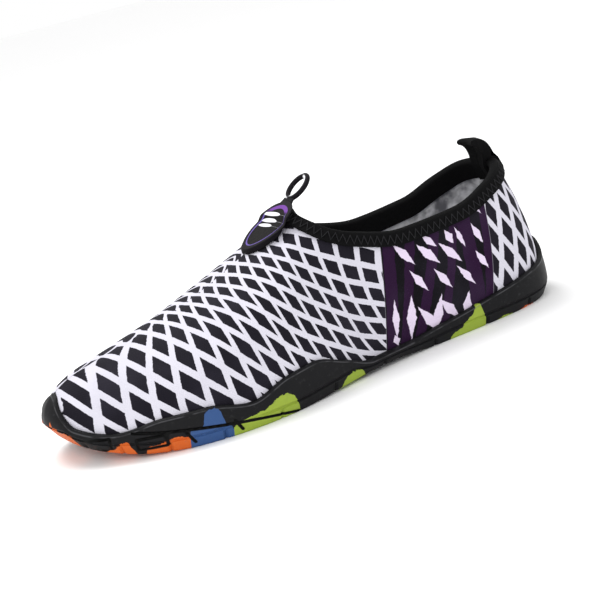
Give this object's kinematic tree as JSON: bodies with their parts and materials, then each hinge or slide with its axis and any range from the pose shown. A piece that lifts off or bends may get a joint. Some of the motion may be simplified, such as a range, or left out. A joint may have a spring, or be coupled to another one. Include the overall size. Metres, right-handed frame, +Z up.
{
  "type": "water shoe",
  "caption": "Slip-on water shoe for the left foot: knitted shell, moulded rubber sole with a wavy side wall, loose insole, bound collar, finger ring and heel pull.",
  "frame": {"origin": "centre of the bounding box's underside, on the floor under the middle of the sole", "axes": "+X from heel to toe, +Y to the outer side of the left foot, +Z up"},
  "size_m": [0.2727, 0.0988, 0.0945],
  "materials": {
    "outsole": "satin",
    "insole": "matte foam and cloth",
    "upper": "matte knit",
    "collar_binding": "matte tape",
    "throat_tab": "satin",
    "heel_tab": "matte tape"
  },
  "bodies": {
    "root": {"outsole": "outsole", "insole": "insole", "upper": "upper", "collar_binding": "collar_binding", "throat_tab": "throat_tab", "heel_tab": "heel_tab"}
  },
  "joints": []
}
